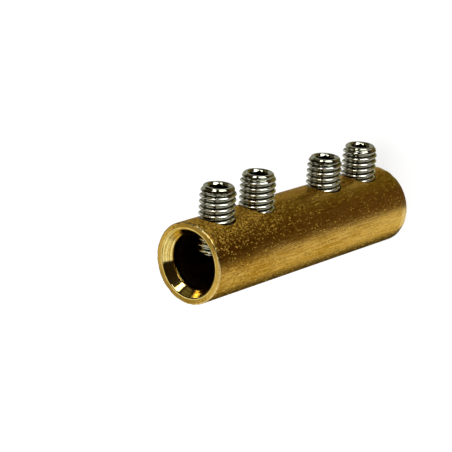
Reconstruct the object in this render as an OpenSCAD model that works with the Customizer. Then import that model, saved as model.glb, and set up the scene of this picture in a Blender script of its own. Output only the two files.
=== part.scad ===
// Mechanical cable connector: a brass tube, bored right through and countersunk at both ends,
// with a row of four hexagon socket set screws along its front. A cable end goes into each mouth,
// and two screws clamp it against the back of the bore.
// The tube stands on its lower end face at z = 0, with the bore along Z and the screws along -Y.

/* [Tube] */
// Length of the tube over its end faces
tube_length = 50; // [46:1:80]
// Outside diameter of the tube
tube_d = 13.5; // [12.5:0.1:18]
// Diameter of the cable bore
bore_d = 9; // [7:0.1:10.5]
// Diameter of the countersunk mouth where it meets the end face
mouth_d = 11.3; // [9.6:0.1:12.4]
// Depth of the countersink, measured from the end face
mouth_depth = 1.5; // [0.6:0.1:3]
// Size of the break along the outer edge of each end face
edge_break = 0.2; // [0.05:0.05:0.6]

/* [Screw places] */
// Distance from an end face to the axis of the screw next to it
end_to_screw = 6.3; // [5:0.1:7.5]
// Distance between the two screws that clamp one cable
screw_spacing = 9.9; // [8:0.1:11]
// How far each crown stands out from the tube, from the upper screw to the lower one
crown_heights = [5.1, 5.4, 4.9, 5.2]; // [3:0.1:8]
// How far each screw is turned about its axis, in degrees, in the same order
screw_turns = [185, 65, 125, 305]; // [0:5:355]

/* [Set screws] */
// Outside diameter over the thread crests
screw_d = 6; // [5:0.1:7]
// Length from the crown to the point
screw_length = 12; // [10:0.5:14]
// Distance from one thread crest to the next
thread_pitch = 1; // [0.75:0.05:1.25]
// Diameter of the crown inside its chamfer
crown_d = 4.7; // [4.2:0.1:4.9]
// Diameter over the rim of the cup point
point_d = 3.2; // [2.8:0.1:4.4]
// Diameter of the cup at the rim
cup_d = 2.6; // [1.2:0.1:3]
// Depth of the cup
cup_depth = 0.6; // [0.2:0.1:1.5]
// Width of the hexagon socket across its flats
socket_width = 3; // [2:0.1:3.4]
// Depth of the socket to the foot of its flats
socket_depth = 3.5; // [2:0.1:5]
// Depth of the drilled cone below the flats
socket_cone_depth = 0.9; // [0.3:0.1:1.5]
// Depth of the conical lead-in round the mouth of the socket
socket_lead = 0.5; // [0.1:0.05:0.6]

/* [Fit] */
// Gap between the thread crests and the wall of the tapped hole, on the radius
thread_clearance = 0.05; // [0.02:0.01:0.1]

/* [Hidden] */
$fn = 96;
// How far a cutting shape runs past the surface that it cuts
overcut = 1;
// Flat pieces that follow the helix once round the screw
steps_per_turn = 24;

tube_r = tube_d / 2;
screw_r = screw_d / 2;
socket_corner_d = socket_width / cos(30);
screw_z = [
    tube_length - end_to_screw,
    tube_length - end_to_screw - screw_spacing,
    end_to_screw + screw_spacing,
    end_to_screw
];

// Sixty-degree thread with a flat crest of an eighth and a flat root of a quarter of the pitch
crest_flat = thread_pitch / 8;
root_flat = thread_pitch / 4;
flank_rise = (thread_pitch - crest_flat - root_flat) / 2;
root_r = screw_r - flank_rise / tan(30);

// Radius and height of the corners of one thread, from its root upwards
thread_corners = [
    [root_r, 0],
    [root_r, root_flat],
    [screw_r, root_flat + flank_rise],
    [screw_r, root_flat + flank_rise + crest_flat]
];

// Half section of the tube, with the radius across and the bore's axis upright
module tube_section() {
    bore_r = bore_d / 2;
    mouth_r = mouth_d / 2;
    polygon([
        [bore_r, mouth_depth],
        [mouth_r, 0],
        [tube_r - edge_break, 0],
        [tube_r, edge_break],
        [tube_r, tube_length - edge_break],
        [tube_r - edge_break, tube_length],
        [mouth_r, tube_length],
        [bore_r, tube_length - mouth_depth]
    ]);
}

// Puts a shape that stands on z = 0 at a screw's place, upright along the screw's axis
module at_screw(place) {
    translate([0, 0, screw_z[place]])
        rotate([90, 0, 0])
            children();
}

// Tapped hole through the front wall, from the middle of the bore
module tapped_hole() {
    cylinder(d = screw_d + 2 * thread_clearance, h = tube_r + overcut);
}

module connector_tube() {
    color("#b5944a")
        difference() {
            rotate_extrude()
                tube_section();
            for (place = [0 : len(screw_z) - 1])
                at_screw(place)
                    tapped_hole();
        }
}

// Rod with a right-hand thread, one turn longer than the screw at each end
module threaded_rod() {
    corners = len(thread_corners);
    turns = ceil(screw_length / thread_pitch) + 2;
    rows = turns * steps_per_turn;
    // A corner past the last one is the first corner of the next turn
    function at(row, corner) =
        corner < corners ? row * corners + corner : at(row + steps_per_turn, corner - corners);
    function ring(row) = concat(
        [for (step = [0 : steps_per_turn]) at(row + step, 0)],
        [for (corner = [corners - 1 : -1 : 1]) at(row, corner)]
    );
    function cap(ring, tip) = [
        for (i = [0 : len(ring) - 1]) [ring[i], ring[(i + 1) % len(ring)], tip]
    ];
    function turned_over(faces) = [for (face = faces) [face[1], face[0], face[2]]];

    helix = [
        for (row = [0 : rows + steps_per_turn], corner = thread_corners)
            let (angle = 360 * row / steps_per_turn, rise = thread_pitch * (row / steps_per_turn - 1))
                [corner.x * cos(angle), corner.x * sin(angle), corner.y + rise]
    ];
    foot = [0, 0, -thread_pitch / 2];
    head = [0, 0, thread_pitch * (turns - 0.5)];
    skin = [
        for (row = [0 : rows - 1], corner = [0 : corners - 1])
            each [
                [at(row, corner), at(row, corner + 1), at(row + 1, corner)],
                [at(row + 1, corner), at(row, corner + 1), at(row + 1, corner + 1)]
            ]
    ];
    polyhedron(
        concat(helix, [foot, head]),
        concat(
            skin,
            cap(ring(0), len(helix)),
            turned_over(cap(ring(rows), len(helix) + 1))
        )
    );
}

// Half section that trims the rod: crown chamfer above, chamfered cup point below
module screw_section() {
    crown_r = crown_d / 2;
    point_r = point_d / 2;
    trim_r = screw_r + overcut;
    polygon([
        [0, cup_depth],
        [cup_d / 2, 0],
        [point_r, 0],
        [trim_r, trim_r - point_r],
        [trim_r, screw_length - (trim_r - crown_r)],
        [crown_r, screw_length],
        [0, screw_length]
    ]);
}

// Hexagon socket cut down from the crown, with a lead-in above and a drilled cone below
module hex_socket() {
    rotate([180, 0, 0]) {
        translate([0, 0, -overcut])
            cylinder(d = socket_corner_d, h = socket_depth + overcut, $fn = 6);
        translate([0, 0, socket_depth])
            cylinder(d1 = socket_width, d2 = 0, h = socket_cone_depth);
        cylinder(
            d1 = socket_corner_d + socket_lead,
            d2 = socket_corner_d - socket_lead,
            h = socket_lead
        );
    }
}

// Set screw in the place given by its number, counted from the upper end
module set_screw(place) {
    color("#b9bcc0")
        at_screw(place)
            translate([0, 0, tube_r + crown_heights[place] - screw_length])
                rotate([0, 0, screw_turns[place]])
                    difference() {
                        intersection() {
                            rotate_extrude()
                                screw_section();
                            threaded_rod();
                        }
                        translate([0, 0, screw_length])
                            hex_socket();
                    }
}

module upper_end_screw() { set_screw(0); }
module upper_middle_screw() { set_screw(1); }
module lower_middle_screw() { set_screw(2); }
module lower_end_screw() { set_screw(3); }

connector_tube();
upper_end_screw();
upper_middle_screw();
lower_middle_screw();
lower_end_screw();
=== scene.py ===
# %% [markdown]
# # A brass cable connector with four set screws
# This script dresses a imported CAD part. The connector stands on its lower end with the bore along Z, and
# its screws point to -Y. Everything is in metres in the part's own frame, so no piece is fitted by eye.

# %% Load the part
import math
import random

import bmesh
import bpy
import numpy as np
from mathutils import Matrix, Vector


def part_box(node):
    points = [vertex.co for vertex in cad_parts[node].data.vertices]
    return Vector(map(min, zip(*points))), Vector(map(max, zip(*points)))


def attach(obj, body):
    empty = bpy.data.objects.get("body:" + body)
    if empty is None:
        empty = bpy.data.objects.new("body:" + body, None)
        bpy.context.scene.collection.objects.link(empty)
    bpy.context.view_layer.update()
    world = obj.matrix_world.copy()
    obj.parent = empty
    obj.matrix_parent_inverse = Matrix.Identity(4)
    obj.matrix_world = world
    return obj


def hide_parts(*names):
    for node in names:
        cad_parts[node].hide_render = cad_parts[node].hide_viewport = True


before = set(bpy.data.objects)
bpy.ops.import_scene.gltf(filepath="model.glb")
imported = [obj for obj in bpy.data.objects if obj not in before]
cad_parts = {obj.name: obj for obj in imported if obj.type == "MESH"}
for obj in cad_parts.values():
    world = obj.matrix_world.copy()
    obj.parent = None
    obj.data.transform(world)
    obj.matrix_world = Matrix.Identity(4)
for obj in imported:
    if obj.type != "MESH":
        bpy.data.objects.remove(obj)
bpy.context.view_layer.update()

# %% [markdown]
# ## Sizes
# A turned part is drawn from a few sizes. They could be measured on the CAD meshes, but names are easier
# to read. They repeat the part's source, because this script can't read it. They are in millimetres,
# which is how a turner thinks, and one factor turns them into metres.

# %% Sizes of the tube and the screws
MM = 0.001
TUBE_LENGTH, TUBE_R, BORE_R = 50.0, 6.75, 4.5
MOUTH_R, MOUTH_DEPTH, EDGE_BREAK = 5.65, 1.5, 0.2
HOLE_R = 3.05
SCREW_Z = (43.7, 33.8, 16.2, 6.3)
SCREW_NODES = ("upper_end_screw", "upper_middle_screw", "lower_middle_screw", "lower_end_screw")
SCREW_BODIES = ("upper_end", "upper_middle", "lower_middle", "lower_end")
CROWN_HEIGHTS = (5.1, 5.4, 4.9, 5.2)
SCREW_TURNS = (185, 65, 125, 305)
SCREW_LENGTH, SCREW_R, ROOT_R, PITCH = 12.0, 3.0, 2.459, 1.0
CROWN_R, POINT_R, CUP_R, CUP_DEPTH = 2.35, 1.6, 1.3, 0.6
SOCKET_WIDTH, SOCKET_DEPTH, SOCKET_CONE, SOCKET_LEAD = 3.0, 3.5, 0.9, 0.5
for node_name in SCREW_NODES:
    low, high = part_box(node_name)
    print(node_name, "front at y =", round(low.y / MM, 2), "point at y =", round(high.y / MM, 2))

# %% [markdown]
# ## A shell made of closed rows
# Both pieces are turned, so each is a stack of closed rows of points with bands of quads between them. A
# modifier could spin a profile, but then the holes would need a boolean, which leaves ragged triangles.
# Rows can be bent to any line, also round a hole, so one small class makes every surface here.

# %% The shell
class Shell:
    """Points and faces of one piece, gathered row by row, with a finish number for each face."""

    def __init__(self):
        self.points, self.faces, self.finishes, self.count = [], [], [], 0

    def row(self, points):
        """Adds a closed row of points, in millimetres, and returns their numbers."""
        numbers = np.arange(self.count, self.count + len(points))
        self.points.append(np.asarray(points, float))
        self.count += len(points)
        return numbers

    def band(self, first, second, finish=0, keep=None):
        """Joins two rows by a band of quads. keep marks the columns that get one."""
        quads = np.stack([first, np.roll(first, -1), np.roll(second, -1), second], axis=1)
        quads = quads if keep is None else quads[keep]
        self.faces += quads.tolist()
        self.finishes += [finish] * len(quads)

    def fan(self, ring, centre, finish=0):
        """Closes a row with triangles that meet in one point."""
        tip = int(self.row([centre])[0])
        self.faces += [[int(a), int(b), tip] for a, b in zip(ring, np.roll(ring, -1))]
        self.finishes += [finish] * len(ring)


# %% From a shell to an object
def link_object(name, data):
    """A new object in the scene."""
    thing = bpy.data.objects.new(name, data)
    bpy.context.scene.collection.objects.link(thing)
    return thing


def make_piece(name, shell, finishes, crease=34):
    """Turns a shell into an object. Edges sharper than crease, in degrees, stay crisp."""
    mesh = bpy.data.meshes.new(name)
    mesh.from_pydata(np.concatenate(shell.points) * MM, [], shell.faces)
    for finish in finishes:
        mesh.materials.append(finish)
    mesh.polygons.foreach_set("material_index", shell.finishes)
    mesh.polygons.foreach_set("use_smooth", [True] * len(shell.faces))
    net = bmesh.new()
    net.from_mesh(mesh)
    unused = [point for point in net.verts if not point.link_faces]
    bmesh.ops.delete(net, geom=unused, context="VERTS")
    bmesh.ops.recalc_face_normals(net, faces=net.faces)
    open_edges = sum(not edge.is_manifold for edge in net.edges)
    net.to_mesh(mesh)
    net.free()
    mesh.set_sharp_from_angle(angle=math.radians(crease))
    print(name, len(mesh.vertices), "points,", len(mesh.polygons), "faces,", open_edges, "open edges")
    return link_object(name, mesh)


# %% [markdown]
# ## Shader maths
# A finish is a sum of small effects, and sums read best as sums. Nodes could be placed and linked one by
# one, but then the sum is lost among the links. This class wraps one socket of a node tree instead. Plus,
# minus, times and the rest add a Math node each, and add() makes any other node from its type, its
# settings and its inputs. Colours and vectors have methods of their own, because a Math node turns them
# grey.

# %% The wire
class Wire:
    """One output socket, with Python's operators for shader maths."""

    def __init__(self, tree, socket=None):
        self.tree, self.socket = tree, socket

    def add(self, kind, settings=None, inputs=None, out=0):
        """Adds a node. Its settings come first, because some of them change its sockets."""
        node = self.tree.nodes.new(kind)
        for name, value in (settings or {}).items():
            setattr(node, name, value)
        for name, value in (inputs or {}).items():
            if isinstance(value, Wire):
                self.tree.links.new(value.socket, node.inputs[name])
            else:
                node.inputs[name].default_value = value
        return Wire(self.tree, node.outputs[out])

    def math(self, operation, *others):
        """A Math node on this value and the others."""
        return self.add("ShaderNodeMath", {"operation": operation}, dict(enumerate((self, *others))))

    def __add__(self, other):
        return self.math("ADD", other)

    def __sub__(self, other):
        return self.math("SUBTRACT", other)

    def __mul__(self, other):
        return self.math("MULTIPLY", other)

    def __truediv__(self, other):
        return self.math("DIVIDE", other)

    __radd__, __rmul__ = __add__, __mul__

    def __rsub__(self, other):
        return self.add("ShaderNodeMath", {"operation": "SUBTRACT"}, {0: other, 1: self})

    def step(self, low, high):
        """0 at low, 1 at high and smooth between them. low may be the larger of the two."""
        return self.add("ShaderNodeMapRange", {"interpolation_type": "SMOOTHSTEP"},
                        {"Value": self, "From Min": low, "From Max": high})

    def mix(self, first, second):
        """The first colour where this value is 0, the second where it is 1."""
        return self.add("ShaderNodeMix", {"data_type": "RGBA"}, {0: self, 6: first, 7: second}, out=2)

    def times(self, factors):
        """This vector with each part times its own factor."""
        return self.add("ShaderNodeVectorMath", {"operation": "MULTIPLY"}, {0: self, 1: factors})

    def split(self):
        """The three parts of this vector or colour."""
        first = self.add("ShaderNodeSeparateXYZ", None, {0: self})
        return [Wire(self.tree, socket) for socket in first.socket.node.outputs]

    def noise(self, scale, detail=2.0, rough=0.5):
        """Fine random clouds over this vector, around a half."""
        return self.add("ShaderNodeTexNoise", None,
                        {"Vector": self, "Scale": scale, "Detail": detail, "Roughness": rough})

    def dots(self, scale):
        """Scattered dots over this vector: how far the nearest one is, and its random value up to 1."""
        away = self.add("ShaderNodeTexVoronoi", None, {"Vector": self, "Scale": scale})
        return away, Wire(self.tree, away.socket.node.outputs["Color"]).split()[0]


# %% Start of a metal
def start_metal(name, edge_tint, brushed=0.0, brushed_turn=0.0):
    """A new metal: its material, its shader node, and the place on the piece in millimetres."""
    material = bpy.data.materials.new(name)
    material.use_nodes = True
    tree = material.node_tree
    shader = tree.nodes["Principled BSDF"]
    shader.inputs["Metallic"].default_value = 1.0
    shader.inputs["Specular Tint"].default_value = edge_tint
    shader.inputs["Anisotropic"].default_value = brushed
    shader.inputs["Anisotropic Rotation"].default_value = brushed_turn
    place = Wire(tree).add("ShaderNodeTexCoord", out="Object").times((1 / MM, 1 / MM, 1 / MM))
    return material, shader, place


def feed(shader, **wires):
    """Plugs wires into a shader's sockets: base_color feeds Base Color, and so on."""
    for name, wire in wires.items():
        socket = shader.inputs[name.replace("_", " ").title()]
        wire.tree.links.new(wire.socket, socket)


def bump(height, depth):
    """A bump from a height around 0 to 1, where 1 stands depth millimetres proud."""
    return height.add("ShaderNodeBump", None, {"Height": height, "Distance": depth * MM})


# %% [markdown]
# ## Drawn brass
# The outside is bar as it came from the draw bench: fine lines along the length over a dull grain, brown
# tarnish between brighter clouds, and scratches from the box of parts, and the tone darkens slowly towards
# the upper end. The screw side of the upper end is rubbed by use, so it is warmer and rougher, with dark
# pits and with painted glints: small dots painted bright. A darker band runs beside it, further from the
# screws. An image could hold all this, but noise over the place on the piece has no seam and stays sharp
# close up. A place that is squeezed along Z before the noise turns clouds into lines. The painted glints
# and the pits are cells of one Voronoi texture: each cell has a random value, which makes it a glint, a
# pit or neither.

# %% The drawn finish
BRASS_EDGE = (0.82, 0.66, 0.4, 1)
DULL_BRASS, BRIGHT_BRASS = (0.4, 0.205, 0.022, 1), (0.68, 0.43, 0.105, 1)
# The second colour on the next line is for painted glints, dots painted brighter than the brass
RUBBED_BRASS, PAINTED_GLINT_BRASS = (0.72, 0.4, 0.045, 1), (1.0, 0.7, 0.13, 1)
# The second colour on the next line darkens a band near the upper end
SCRATCH_BROWN, DARKER_BAND_BROWN = (0.22, 0.105, 0.01, 1), (0.2, 0.085, 0.006, 1)
PIT_BROWN = (0.14, 0.06, 0.005, 1)


def drawn_brass():
    """Brass bar with its drawn skin, rubbed on the screw side of the upper end."""
    material, shader, place = start_metal("drawn_brass", BRASS_EDGE, brushed=0.4)
    _, y, z = place.split()
    lines = place.times((1, 1, 0.04)).noise(4.6, 3.0)
    grain = place.times((1, 1, 0.55)).noise(3.4, 4.0, 0.62)
    clouds = place.times((1, 1, 0.4)).noise(0.35, 3.0)
    scratches = place.times((1, 1, 0.06)).noise(6.0, 3.0, 0.6).step(0.55, 0.66)
    bright = (grain * 0.6 + lines * 0.65 + clouds * 0.35 - z * 0.0034).step(0.5, 0.88)
    rubbed = (y + clouds * 3.0).step(-0.6, -4.8) * (0.2 + z.step(22.0, 44.0) * 0.8)
    away, chance = place.times((1, 1, 0.8)).dots(4.3)
    dot = away.step(0.66, 0.46)
    # Painted glints: dots painted bright and made rougher stand in for sparkle on the rubbed side
    painted_glints = dot * (chance + rubbed * 0.5).step(0.87, 1.01)
    beside_rubbed = z.step(26.0, 46.0) * (1 - rubbed)
    pits = dot * (chance - rubbed * 0.2 - beside_rubbed * 0.12).step(0.02, -0.04)
    # A darker band near the upper end, beside the rubbed side
    darker_band = z.step(32.0, 46.0) * y.step(0.4, -1.0) * y.step(-4.6, -3.2)
    colour = bright.mix(DULL_BRASS, BRIGHT_BRASS)
    colour = (rubbed * 0.3).mix(colour, RUBBED_BRASS)
    colour = (scratches * 0.6).mix(colour, SCRATCH_BROWN)
    colour = (darker_band * 0.55).mix(colour, DARKER_BAND_BROWN)
    colour = (pits * 0.7).mix(colour, PIT_BROWN)
    colour = painted_glints.mix(colour, PAINTED_GLINT_BRASS)
    roughness = 0.31 - bright * 0.07 + lines * 0.04 + painted_glints * 0.36 + rubbed * 0.08
    height = grain + lines * 0.4 + scratches * -0.5
    feed(shader, base_color=colour, roughness=roughness, normal=bump(height, 0.022))
    return material


# %% [markdown]
# ## Turned and bored brass
# The end faces, their outer edges and the countersinks were cut in the lathe, so they are brighter and
# carry fine rings. The rings could be modelled, but they are finer than any mesh, so they are noise over
# the distance from the axis, worked out here from the place on the piece. Two opposite sides of each end
# face are painted brighter, a painted sheen in the bow-tie shape that light makes on a turned face, and
# the faces and the edges have small dark dents. The bore was drilled and then left, so it is dull, and it
# is painted much darker as painted shade deep inside it. The four differ only in a few numbers, so one
# function makes them all.

# %% The turned finishes
DENT_BROWN = (0.2, 0.1, 0.02, 1)
# Cosine and twice the sine of twenty degrees: the painted sheen lies ten degrees off the X axis
SHEEN_COSINE, SHEEN_SINE = 0.94, 0.684


def turned_brass(name, ring_depth, ring_tone, roughness, tones, brushed=0.0, dents=0.0, painted_sheen=0.0):
    """Brass cut in the lathe, in a dark and a light tone, with rings ring_depth millimetres deep."""
    material, shader, place = start_metal(name, BRASS_EDGE, brushed, brushed_turn=0.25)
    x, y, z = place.split()
    radius = (x * x + y * y).math("SQRT")
    rings = place.add("ShaderNodeTexNoise", {"noise_dimensions": "1D"},
                      {"W": radius + z * 0.6, "Scale": 3.6, "Detail": 3.0})
    flecks = place.noise(2.4, 4.0, 0.65)
    clouds = place.noise(0.3, 2.0)
    nicks = flecks.step(0.4, 0.3) * dents
    # Painted sheen: two opposite sides of each face are made brighter, the bow-tie that light makes on a
    # turned face
    painted_bow_tie = ((x * x - y * y) * SHEEN_COSINE - x * y * SHEEN_SINE) / (radius * radius)
    tone = (rings - 0.5) * ring_tone + flecks * 0.5 + clouds * 0.4 + painted_bow_tie * painted_sheen
    colour = tone.step(0.25, 0.65).mix(*tones)
    colour = nicks.mix(colour, DENT_BROWN)
    feed(shader, base_color=colour, roughness=roughness + flecks * 0.05 + nicks * 0.2,
         normal=bump(rings + flecks * 0.5, ring_depth))
    return material


# %% All the brass
brass = [
    drawn_brass(),
    turned_brass("edge_brass", ring_depth=0.006, ring_tone=0.3, roughness=0.25, dents=0.5,
                 tones=((0.5, 0.31, 0.05, 1), (0.92, 0.72, 0.32, 1))),
    # The faced brass carries the painted bow-tie sheen
    turned_brass("faced_brass", ring_depth=0.012, ring_tone=0.5, roughness=0.34, brushed=0.9, dents=1.0,
                 painted_sheen=0.16, tones=((0.38, 0.215, 0.027, 1), (0.8, 0.51, 0.095, 1))),
    turned_brass("countersunk_brass", ring_depth=0.006, ring_tone=1.1, roughness=0.08, brushed=0.5,
                 tones=((0.48, 0.3, 0.045, 1), (0.91, 0.75, 0.28, 1))),
    # The bore's brass is painted far darker than brass, as painted shade deep inside the bore
    turned_brass("bore_brass_painted_shade", ring_depth=0.01, ring_tone=0.5, roughness=0.3,
                 tones=((0.12, 0.065, 0.008, 1), (0.28, 0.16, 0.02, 1))),
]
DRAWN, EDGE, FACED, SUNK, SHADED_BORE = range(len(brass))
print("brass finishes:", [finish.name for finish in brass])

# %% [markdown]
# ## Plated steel
# The screws are bright zinc over steel: palest on the crests, greyer below, with faint smears. Low in the
# thread, near the roots, the flanks are painted nearly black as painted shade. A mask could be painted on
# each screw, but the shape itself tells where the crests are: the distance from the nearest screw's axis
# runs from root to crest. So one material serves all four.

# %% The plated finish
ZINC_EDGE = (0.92, 0.92, 0.86, 1)
DULL_ZINC, BRIGHT_ZINC = (0.29, 0.295, 0.2, 1), (0.55, 0.555, 0.42, 1)
# The second colour on the next line is painted shade for the flanks near the thread roots
CREST_ZINC, ROOT_SHADE_COLOUR = (0.88, 0.87, 0.78, 1), (0.025, 0.022, 0.013, 1)


def plated_steel():
    """Bright zinc on steel, pale on the crests, with painted shade low in the thread."""
    material, shader, place = start_metal("plated_steel", ZINC_EDGE)
    x, y, z = place.split()
    off_axis = (z - SCREW_Z[0]).math("ABSOLUTE")
    for axis_z in SCREW_Z[1:]:
        off_axis = off_axis.math("MINIMUM", (z - axis_z).math("ABSOLUTE"))
    radius = (x * x + off_axis * off_axis).math("SQRT")
    smears = place.noise(1.6, 4.0, 0.6)
    pits = place.noise(9.0, 2.0, 0.6)
    crest = (radius + (smears - 0.5) * 0.2).step(2.68, 2.92)
    below_crown = y.step(-11.35, -11.15)
    # Painted shade: near the roots, below the crown, the thread turns nearly black
    root_shade = radius.step(2.49, 2.55) * radius.step(2.76, 2.62) * below_crown
    patches = (smears * 0.7 + pits * 0.4).step(0.35, 0.7)
    colour = patches.mix(DULL_ZINC, BRIGHT_ZINC)
    colour = crest.mix(colour, CREST_ZINC)
    colour = root_shade.mix(colour, ROOT_SHADE_COLOUR)
    roughness = 0.05 + smears * 0.06 + root_shade * 0.2
    feed(shader, base_color=colour, roughness=roughness, normal=bump(pits, 0.003))
    return material


steel = plated_steel()
print("nodes in the steel:", len(steel.node_tree.nodes))

# %% [markdown]
# ## The tube's section
# The section of the tube is one closed line. Sharp corners catch no light, and real ones are never sharp,
# so each corner is rounded by a short curve. A bevel modifier could round them, but it would also catch
# the holes. The straight runs get extra rows where the screw holes need them.

# %% Rounded corners
def rounded(before, corner, after, size, steps):
    """Points of a short curve that takes the place of a corner."""
    before, corner, after = (np.asarray(point, float) for point in (before, corner, after))
    start = corner + (before - corner) / np.linalg.norm(before - corner) * size
    end = corner + (after - corner) / np.linalg.norm(after - corner) * size
    share = np.linspace(0, 1, steps + 1)[:, None]
    return (1 - share) ** 2 * start + 2 * share * (1 - share) * corner + share ** 2 * end


LIP_ROUND, FOOT_ROUND = 0.18, 0.22


def end_section(flip):
    """Radius, height and finish from the outer wall over one end face down to the bore."""
    outer, face = (TUBE_R, 0.0), (MOUTH_R, 0.0)
    foot = (BORE_R, -MOUTH_DEPTH)
    edge = rounded((TUBE_R, -1), outer, (0, 0), EDGE_BREAK, 7)
    lip = rounded(outer, face, foot, LIP_ROUND, 8)
    inner = rounded(face, foot, (BORE_R, -5), FOOT_ROUND, 6)
    flat = np.linspace(edge[-1], lip[0], 8)[1:-1]
    cone = np.linspace(lip[-1], inner[0], 16)[1:-1]
    runs = ((edge, EDGE), (flat, FACED), (lip, SUNK), (cone, SUNK), (inner, SUNK))
    points = np.concatenate([run for run, _ in runs])
    finishes = [finish for run, finish in runs for _ in run]
    heights = -points[:, 1] if flip else TUBE_LENGTH + points[:, 1]
    return list(zip(points[:, 0], heights, finishes))


upper_end, lower_end = end_section(False), end_section(True)
print("points over one end:", len(upper_end))

# %% Rows along a wall
PATCH_HALF, PATCH_ROWS = 3.9, 16


def wall_rows(low, high, step):
    """Heights along a wall from low to high, with the edges of each hole's patch among them."""
    stops = [low] + sorted(z + side * PATCH_HALF for z in SCREW_Z for side in (-1, 1)) + [high]
    heights = []
    for first, last in zip(stops, stops[1:]):
        patch = abs(last - first - 2 * PATCH_HALF) < 1e-6
        count = PATCH_ROWS if patch else max(1, round((last - first) / step))
        heights += [first + (last - first) * i / count for i in range(count)]
    return np.array(heights + [high])


OUTER_STEP, BORE_STEP = 1.0, 1.2
outer_heights = wall_rows(lower_end[0][1], upper_end[0][1], OUTER_STEP)[1:-1]
bore_heights = wall_rows(lower_end[-1][1], upper_end[-1][1], BORE_STEP)[1:-1]
print("rows on the outside:", len(outer_heights), "in the bore:", len(bore_heights))

# %% [markdown]
# ## Nicks
# The ends knock against each other in the box, so the outer edges carry small dents. A bump would do for
# the shine, but the outline shows too, so the dents are real. Each nick pulls the points near it a few
# hundredths of a millimetre into the metal, inwards and along.

# %% Where the nicks are
COLUMNS = 360
NICK_COUNT, NICK_REACH, NICK_SPREAD, NICK_SLANT = 80, 0.6, 0.2, 0.7
turns = np.arange(COLUMNS) * 2 * math.pi / COLUMNS
dice = random.Random(12)
nicks = [
    (dice.uniform(-math.pi, math.pi), dice.uniform(0.15, 0.6),
     dice.uniform(0.015, 0.07), dice.choice((0, 1)))
    for _ in range(NICK_COUNT)
]


def nick_depth(radius, height):
    """How far the points of one row are pressed in, for each column."""
    depth = np.zeros(COLUMNS)
    for turn, width, deep, end in nicks:
        off_edge = math.hypot(TUBE_R - radius, (TUBE_LENGTH if end else 0) - height)
        if off_edge < NICK_REACH:
            around = (turns - turn + math.pi) % (2 * math.pi) - math.pi
            depth += deep * np.exp(-((around * TUBE_R / width) ** 2) - (off_edge / NICK_SPREAD) ** 2)
    return depth


print("nicks:", len(nicks), "deepest", round(max(deep for _, _, deep, _ in nicks), 3), "mm")

# %% [markdown]
# ## The tube
# The rows run up the outside, over the upper end, down the bore and over the lower end, back to the
# start. A boolean could drill the holes afterwards. Here the quads round each tapped hole are left out
# instead, on the outside and in the bore, and the gap is filled later by rings that suit a hole.

# %% Rows and bands of the tube
PATCH_COLUMNS = 57
line = [(TUBE_R, z, DRAWN) for z in outer_heights] + upper_end
line += [(BORE_R, z, SHADED_BORE) for z in bore_heights[::-1]] + lower_end[::-1]


def tube_row(radius, height):
    """One closed row round the tube's axis, starting at the front."""
    depth = nick_depth(radius, height) * NICK_SLANT
    inwards = 1 if height < TUBE_LENGTH / 2 else -1
    ring = radius - depth
    return np.stack([ring * np.sin(turns), -ring * np.cos(turns), height + depth * inwards], axis=1)


tube = Shell()
rows = [tube.row(tube_row(radius, height)) for radius, height, _ in line]
columns = np.arange(COLUMNS)
beside_hole = (columns >= PATCH_COLUMNS) & (columns < COLUMNS - PATCH_COLUMNS)
for i, (radius, height, finish) in enumerate(line):
    following = line[(i + 1) % len(line)]
    middle = (height + following[1]) / 2
    straight = radius == following[0] and radius in (TUBE_R, BORE_R)
    cut = straight and any(abs(middle - z) < PATCH_HALF for z in SCREW_Z)
    look = finish if straight else max(finish, following[2])
    tube.band(rows[i], rows[(i + 1) % len(rows)], look, beside_hole if cut else None)
print("rows round the tube:", len(rows))

# %% [markdown]
# ## The tapped holes
# A hole's rim is a circle bent over a cylinder. Rings run from the square gap in the wall to that rim,
# each pushed back onto the cylinder, so the wall stays true right up to the hole. The rim's edge is
# rounded, and straight rows join the rim outside to the rim in the bore. The thread in the hole is hidden
# by the screw, so the hole is left plain.

# %% Where a hole meets the walls
def gap_edge(radius, z):
    """Numbers of the points round one hole's gap in a wall, and their places across and along it."""
    near = {round(float(h), 4): row for (r, h, _), row in zip(line, rows) if r == radius}
    heights = [round(float(h), 4) for h in np.linspace(z - PATCH_HALF, z + PATCH_HALF, PATCH_ROWS + 1)]
    side = [near[min(near, key=lambda h: abs(h - height))] for height in heights]
    painted_bow_tie = np.arange(-PATCH_COLUMNS, PATCH_COLUMNS + 1) % COLUMNS
    edge = list(side[0][painted_bow_tie[:-1]]) + [row[painted_bow_tie[-1]] for row in side[:-1]]
    edge += list(side[-1][painted_bow_tie[:0:-1]]) + [row[painted_bow_tie[0]] for row in side[:0:-1]]
    places = np.concatenate(tube.points)[edge]
    return np.array(edge), places[:, [0, 2]] - (0, z)


def on_wall(radius, flat, z, depth=0.0):
    """Points at places across and along a wall, put onto its cylinder."""
    front = -np.sqrt(radius ** 2 - flat[:, 0] ** 2) + depth
    return np.stack([flat[:, 0], front, flat[:, 1] + z], axis=1)


def next_ring(ring, points, finish):
    """Adds a row of points to the tube, joins it to a ring, and returns it."""
    following = tube.row(points)
    tube.band(ring, following, finish)
    return following


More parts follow.
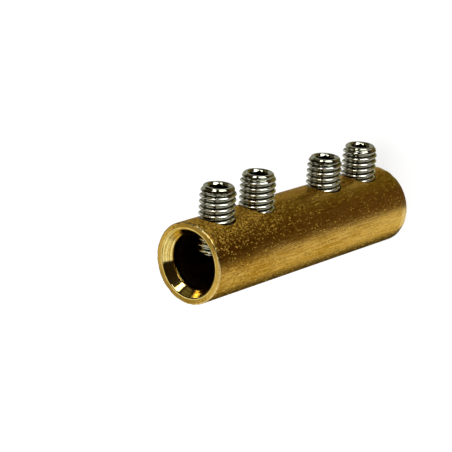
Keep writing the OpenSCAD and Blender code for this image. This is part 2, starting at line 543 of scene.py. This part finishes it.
# %% Rings round each hole
RIM_ROUND = 0.12
OUTER_SHARES = (0.84, 0.68, 0.52, 0.38, 0.26, 0.16, 0.08, 0.0)
RIM_BENDS = (30, 60, 90)
WALL_SHARES = (0.25, 0.5, 0.75, 1.0)
BORE_SHARES = (0.12, 0.3, 0.5, 0.75)
for z in SCREW_Z:
    outer_edge, outer_flat = gap_edge(TUBE_R, z)
    bore_edge, bore_flat = gap_edge(BORE_R, z)
    headings = [flat / np.linalg.norm(flat, axis=1)[:, None] for flat in (outer_flat, bore_flat)]
    heading = headings[0] + headings[1]
    heading /= np.linalg.norm(heading, axis=1)[:, None]
    ring = outer_edge
    for share in OUTER_SHARES:
        flat = outer_flat * share + heading * (HOLE_R + RIM_ROUND) * (1 - share)
        ring = next_ring(ring, on_wall(TUBE_R, flat, z), DRAWN)
    for bend in RIM_BENDS:
        turn = math.radians(bend)
        flat = heading * (HOLE_R + RIM_ROUND * (1 - math.sin(turn)))
        ring = next_ring(ring, on_wall(TUBE_R, flat, z, RIM_ROUND * (1 - math.cos(turn))), SUNK)
    top = tube.points[-1]
    foot = on_wall(BORE_R, heading * HOLE_R, z)
    for share in WALL_SHARES:
        ring = next_ring(ring, top * (1 - share) + foot * share, SHADED_BORE)
    for share in BORE_SHARES:
        flat = bore_flat * share + heading * HOLE_R * (1 - share)
        ring = next_ring(ring, on_wall(BORE_R, flat, z), SHADED_BORE)
    tube.band(ring, bore_edge, SHADED_BORE)
print("points in the tube:", tube.count)

# %% The tube as a piece
brass_tube = make_piece("brass_tube", tube, brass)
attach(brass_tube, "tube")
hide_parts("connector_tube")

# %% [markdown]
# ## The thread
# A rolled thread has straight flanks at sixty degrees with rounded crests and roots. A screw modifier
# could sweep one tooth, but its ends would need trimming. The radius depends only on how far a point lies
# along the pitch, so one table of radii, softened by a running average, gives the whole helix. Two cones
# then cut it down, at the crown and at the point, wherever they give the smaller radius. At the crown the
# cone bends at a shoulder and runs softly into the thread, because a rolled screw has no sharp corner.

# %% One pitch of thread
TABLE_SIZE, SOFTENING = 400, 141
HALF_CREST, FLANK_RUN = 0.0625, 0.3125
along = (np.arange(TABLE_SIZE) + 0.5) / TABLE_SIZE
from_crest = np.minimum(along, 1 - along)
flank = np.clip((HALF_CREST + FLANK_RUN - from_crest) / FLANK_RUN, 0, 1)
window = np.hanning(SOFTENING)
soft_flank = np.convolve(np.tile(flank, 3), window / window.sum(), "same")[TABLE_SIZE:2 * TABLE_SIZE]
soft_flank = (soft_flank - soft_flank.min()) / (soft_flank.max() - soft_flank.min())
thread_table = ROOT_R + (SCREW_R - ROOT_R) * soft_flank
print("thread from", thread_table.min().round(3), "to", thread_table.max().round(3), "mm")

# %% The threaded barrel
SCREW_COLUMNS = 120
CREST_SHIFT = 0.375
SHOULDER, UNDER_SHOULDER, CROWN_BLEND = 0.22, 0.45, 0.12
column_turns = np.arange(SCREW_COLUMNS) * 2 * math.pi / SCREW_COLUMNS


def soft_minimum(first, second, blend):
    """The smaller of two values, with a smooth change from one to the other."""
    share = np.clip(0.5 + (second - first) / (2 * blend), 0, 1)
    return second + (first - second) * share - blend * share * (1 - share)


def barrel_radius(height):
    """Radius of the threaded barrel round one row, chamfers included."""
    pitch_place = (height / PITCH - column_turns / (2 * math.pi) + CREST_SHIFT) % 1.0
    radius = np.interp(pitch_place, along, thread_table, period=1.0)
    under_crown = SCREW_LENGTH - height
    crown_edge = CROWN_R + min(under_crown, SHOULDER) + UNDER_SHOULDER * max(under_crown - SHOULDER, 0)
    return np.minimum(soft_minimum(radius, crown_edge, CROWN_BLEND), POINT_R + height)


print("widest half-way up:", barrel_radius(SCREW_LENGTH / 2).max().round(3), "mm")

# %% [markdown]
# ## The set screws
# Each screw is one closed skin: out from the middle of the cup point, up the thread, over the crown, down
# the hexagon socket and into its drilled tip. The socket could be cut with a boolean, but in rows it is
# simple: it is a hexagon with a rounded lead-in, so at each depth its radius is the larger of the two.

# %% Skin of one screw
POINT_RIM = 0.1
CROWN_EDGE, CROWN_FLARE = 0.03, 0.02
ROWS_PER_PITCH = 24
LEAD_ROUND, LEAD_STEP = 1.65, 7.5
SOCKET_DEPTHS = (0.6, 0.8, 1.2, 1.8, 2.4, 3.0, SOCKET_DEPTH)


def screw_ring(radius, height):
    """One closed row round the screw's own axis."""
    radius = np.broadcast_to(radius, (SCREW_COLUMNS,))
    level = np.full(SCREW_COLUMNS, height)
    return np.stack([radius * np.cos(column_turns), radius * np.sin(column_turns), level], axis=1)


def outer_skin():
    """Rows from the cup point up the thread to the edge of the crown."""
    skin = [screw_ring(CUP_R * share, CUP_DEPTH * (1 - share)) for share in (0.12, 0.45, 0.8, 1.0)]
    skin += [screw_ring(POINT_R - POINT_RIM, 0.0)]
    heights = np.arange(0, SCREW_LENGTH - CROWN_EDGE, PITCH / ROWS_PER_PITCH)
    skin += [screw_ring(barrel_radius(height), height) for height in heights]
    skin += [screw_ring(CROWN_R + CROWN_FLARE, SCREW_LENGTH - CROWN_EDGE)]
    return skin + [screw_ring(CROWN_R - CROWN_EDGE, SCREW_LENGTH)]


def socket_skin():
    """Rows from the crown down the socket to its drilled tip."""
    hexagon = SOCKET_WIDTH / 2 / np.cos((column_turns % (math.pi / 3)) - math.pi / 6)
    mouth = SOCKET_WIDTH / 2 / math.cos(math.pi / 6) + SOCKET_LEAD / 2
    skin = [screw_ring(mouth + (CROWN_R - mouth) * share, SCREW_LENGTH) for share in (0.66, 0.33)]
    for turn in np.radians(np.arange(0, 91, LEAD_STEP)):
        depth = SOCKET_LEAD * (1 - math.cos(turn) ** LEAD_ROUND)
        lead = mouth - SOCKET_LEAD * math.sin(turn) ** LEAD_ROUND
        skin += [screw_ring(np.maximum(hexagon, lead), SCREW_LENGTH - depth)]
    skin += [screw_ring(hexagon, SCREW_LENGTH - depth) for depth in SOCKET_DEPTHS]
    for share in (0.99, 0.66, 0.33):
        height = SCREW_LENGTH - SOCKET_DEPTH - SOCKET_CONE * (1 - share)
        skin += [screw_ring(SOCKET_WIDTH / 2 * share, height)]
    return skin


skin = outer_skin() + socket_skin()
cup_tip = (0, 0, CUP_DEPTH)
socket_tip = (0, 0, SCREW_LENGTH - SOCKET_DEPTH - SOCKET_CONE)
print("rows in a screw:", len(skin))

# %% The four screws
def placed(points, place):
    """Points of the screw's own frame, turned and put at its place in the tube."""
    turn = math.radians(SCREW_TURNS[place])
    x, y, z = np.asarray(points, float).T
    painted_bow_tie = x * math.cos(turn) - y * math.sin(turn)
    upwards = x * math.sin(turn) + y * math.cos(turn)
    front = z + TUBE_R + CROWN_HEIGHTS[place] - SCREW_LENGTH
    return np.stack([painted_bow_tie, -front, upwards + SCREW_Z[place]], axis=1)


for place, node_name in enumerate(SCREW_NODES):
    shell = Shell()
    screw_rows = [shell.row(placed(row, place)) for row in skin]
    for lower, upper in zip(screw_rows, screw_rows[1:]):
        shell.band(lower, upper)
    shell.fan(screw_rows[0][::-1], placed([cup_tip], place)[0])
    shell.fan(screw_rows[-1], placed([socket_tip], place)[0])
    screw = make_piece("plated_" + node_name, shell, [steel], crease=40)
    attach(screw, SCREW_BODIES[place])
    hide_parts(node_name)

# %% [markdown]
# ## The floor
# The part stands on white paper. Paper that is only lit comes out grey, and more light would bleach the
# part, so to the camera most of the paper's white is its own glow. The rest is lit, which keeps the
# part's soft shadow. The metal sees the room through the paper. A dark disc lies under the bore, where
# hardly any light comes, because the glow would show as a white spot at the end of it.

# %% Paper and shade
FLOOR_HALF = 3.0
SHADE_R, SHADE_LIFT, SHADE_CORNERS = 5.0 * MM, 0.02 * MM, 48


def matt_paper(name, colour):
    """Matt paper of one colour."""
    paper = bpy.data.materials.new(name)
    paper.use_nodes = True
    shader = paper.node_tree.nodes["Principled BSDF"]
    shader.inputs["Base Color"].default_value = colour
    shader.inputs["Roughness"].default_value = 0.9
    return paper


def flat_sheet(name, corners, paper):
    """One flat face of paper that belongs to the stage."""
    mesh = bpy.data.meshes.new(name)
    mesh.from_pydata(corners, [], [tuple(range(len(corners)))])
    mesh.materials.append(paper)
    return link_object(name, mesh)


white_paper = matt_paper("white_paper", (0.92, 0.92, 0.92, 1))
dim_paper = matt_paper("dim_paper", (0.03, 0.028, 0.025, 1))
floor_corners = [(x * FLOOR_HALF, y * FLOOR_HALF, 0) for x, y in ((-1, -1), (1, -1), (1, 1), (-1, 1))]
shade_turns = np.linspace(0, 2 * math.pi, SHADE_CORNERS, endpoint=False)
shade_corners = [(SHADE_R * math.cos(a), SHADE_R * math.sin(a), SHADE_LIFT) for a in shade_turns]
floor = flat_sheet("floor", floor_corners, white_paper)
floor.visible_glossy = False
floor.visible_transmission = False
shade = flat_sheet("shade_under_bore", shade_corners, dim_paper)
print("floor", 2 * FLOOR_HALF, "m wide, shade", round(2 * SHADE_R / MM, 1), "mm wide")

# %% White to the camera
GLOW_SHARE = 0.8
tree = white_paper.node_tree
paper_wire = Wire(tree)
shine = paper_wire.add("ShaderNodeEmission", None, {"Strength": 1.0})
seen = paper_wire.add("ShaderNodeLightPath", out="Is Camera Ray") * GLOW_SHARE
lit = Wire(tree, tree.nodes["Principled BSDF"].outputs[0])
blend = paper_wire.add("ShaderNodeMixShader", None, {0: seen, 1: lit, 2: shine})
tree.links.new(blend.socket, tree.nodes["Material Output"].inputs["Surface"])
print("nodes in the paper:", len(tree.nodes))

# %% [markdown]
# ## The room
# Metal shows its surroundings, so the room is half of the finish. For the photo the connector lay on a
# white table with its screws up, so the table is on the +Y side, and on the -Y side is a dim, warm room. A
# picture of a studio could be wrapped round the part, but a few zones with soft edges do as well and load
# nothing. A zone is a product of steps over the heading, and each zone is mixed over those before it.

# %% The dim side of the room
WHITE, BLACK = (1, 1, 1, 1), (0, 0, 0, 1)
world = bpy.data.worlds.new("room")
bpy.context.scene.world = world
world.use_nodes = True
sky = Wire(world.node_tree)
x, y, z = sky.add("ShaderNodeTexCoord", out="Generated").split()
sideways = x / (x * x + y * y).math("SQRT")
level = 0.02 + z.step(-0.4, -0.72) * (0.05 + x.step(0.0, -0.35) * 0.07)
wall = sideways.step(0.45, 0.9) * z.step(-0.25, -0.7)
opening = sideways.step(0.75, 0.82) * z.step(-0.6, -0.5) * z.step(0.14, 0.02)
corner = sideways.step(0.28, 0.42) * z.step(0.02, 0.12) * z.step(0.42, 0.32) * (1 - opening)
glow = x.step(-0.35, -0.05) * x.step(0.5, 0.25) * z.step(-0.6, -0.74)
shelf = (x * 0.1 + y * -0.955 + z * -0.27).step(0.945, 0.975)
room = level.mix(BLACK, (1, 0.62, 0.27, 1))
room = (wall * 0.42).mix(room, WHITE)
room = opening.mix(room, (1, 0.97, 0.88, 1))
room = (corner * 0.13).mix(room, (1, 0.9, 0.5, 1))
room = (glow * 0.115).mix(room, (1, 1, 0.15, 1))
room = (shelf * 0.7).mix(room, (0.85, 0.95, 1, 1))
print("nodes for the dim side:", len(world.node_tree.nodes))

# %% [markdown]
# ## The table
# The table is white up to its edge, but not all the way to the part: straight below lies the part's own
# shade. A card, a stand and a screen on the table break up the white, because metal in an empty white
# room looks flat. The far side of the table and the side past the lower end are dimmer. The camera sees
# white everywhere, and metal sees full white wherever the table is bare.

# %% The table side of the room
card = (x * 0.84 + y * 0.3 + z * 0.45).step(0.972, 0.988)
under = (x * 0.4 + y * 0.56 + z * -0.726).step(0.865, 0.925)
stand = x.step(-0.55, -0.48) * x.step(-0.1, -0.18) * z.step(0.3, 0.5) * y.step(0.65, 0.5)
screen = (x * 0.84 + y * 0.49 + z * 0.22).step(0.945, 0.97)
far_side = y.step(0.8, 0.93) * z.step(0.32, 0.1) * z.step(-0.3, -0.1)
dim_side = x.step(0.58, 0.8)
table_side = (y + z * 0.107).step(0.02, 0.1) * (1 - under) * (1 - card) * (1 - stand)
studio = under.mix(room, (0.02, 0.013, 0.006, 1))
studio = table_side.mix(studio, WHITE)
studio = (far_side * 0.45).mix(studio, BLACK)
studio = (dim_side * 0.5).mix(studio, BLACK)
studio = screen.mix(studio, (0.06, 0.045, 0.02, 1))
studio = card.mix(studio, (0.12, 0.07, 0.02, 1))
print("nodes with the table:", len(world.node_tree.nodes))

# %% What each ray sees
rays = sky.add("ShaderNodeLightPath").socket.node.outputs
seen = Wire(sky.tree, rays["Is Camera Ray"])
in_metal = Wire(sky.tree, rays["Is Glossy Ray"])
in_glass = Wire(sky.tree, rays["Is Transmission Ray"])
white_side = table_side * (1 - far_side) * (1 - screen) * (1 - dim_side)
backdrop = (seen + (in_metal + in_glass) * white_side).mix(studio, WHITE)
world.node_tree.links.new(backdrop.socket, world.node_tree.nodes["Background"].inputs["Color"])
print("nodes in the room:", len(world.node_tree.nodes))

# %% [markdown]
# ## Lamps
# Three soft lamps stand in the dim room on the screws' side. Each gives the threads, crowns and edges a
# highlight of its own. Small hard lamps would only make white dots, because polished metal shows the
# shape of a lamp. The fourth is a wide panel over the floor. It lights the paper, and the metal doesn't
# show it.

# %% The four lamps
LAMP_DISTANCE, PANEL_DISTANCE = 0.6, 1.1


def soft_lamp(name, heading, distance, size, watts, in_metal=True):
    """A lamp with a flat face of two sizes that faces the part from a heading."""
    lamp = bpy.data.lights.new(name, "AREA")
    lamp.shape, lamp.energy = "RECTANGLE", watts
    lamp.size, lamp.size_y = size
    holder = link_object(name, lamp)
    heading = Vector(heading).normalized()
    holder.location = Vector((0, 0, TUBE_LENGTH / 2 * MM)) + heading * distance
    holder.rotation_mode = "QUATERNION"
    holder.rotation_quaternion = heading.to_track_quat("Z", "Y")
    holder.visible_glossy = in_metal
    print(name, "at", [round(c, 3) for c in holder.location])


soft_lamp("long_softbox", (-0.42, -0.905, -0.02), LAMP_DISTANCE, (0.28, 0.34), 1.8)
soft_lamp("square_softbox", (0.075, -0.91, 0.4), LAMP_DISTANCE, (0.125, 0.13), 0.4)
soft_lamp("upper_softbox", (0.02, -0.745, 0.66), LAMP_DISTANCE, (0.21, 0.14), 0.39)
soft_lamp("floor_panel", (0, 0, 1), PANEL_DISTANCE, (1.6, 1.6), 22.0, in_metal=False)

# %% [markdown]
# ## Camera
# The camera stands where the photo was taken from. It could be set by eye, but its place, turn and lens
# were solved together from the outlines of the tube and the screws, which is surer. It is rolled, because
# the part lay on its side with the screws up.

# %% The camera
SENSOR_WIDTH, LENS, NEAREST = 36.0, 141.65, 0.01
right, up, ahead = (-0.7508, -0.0602, -0.6578), (0.2519, -0.9468, -0.2010), (0.6106, 0.3166, -0.7260)
spot = (-0.175121, -0.095255, 0.249431)
camera_data = bpy.data.cameras.new("camera")
camera_data.sensor_width, camera_data.lens = SENSOR_WIDTH, LENS
camera_data.clip_start = NEAREST
camera = link_object("camera", camera_data)
camera.matrix_world = Matrix([(right[i], up[i], -ahead[i], spot[i]) for i in range(3)] + [(0, 0, 0, 1)])
bpy.context.scene.camera = camera
bpy.context.scene.view_settings.view_transform = "Standard"
print("camera", round(Vector(spot).length, 3), "m from the part, lens", LENS, "mm")
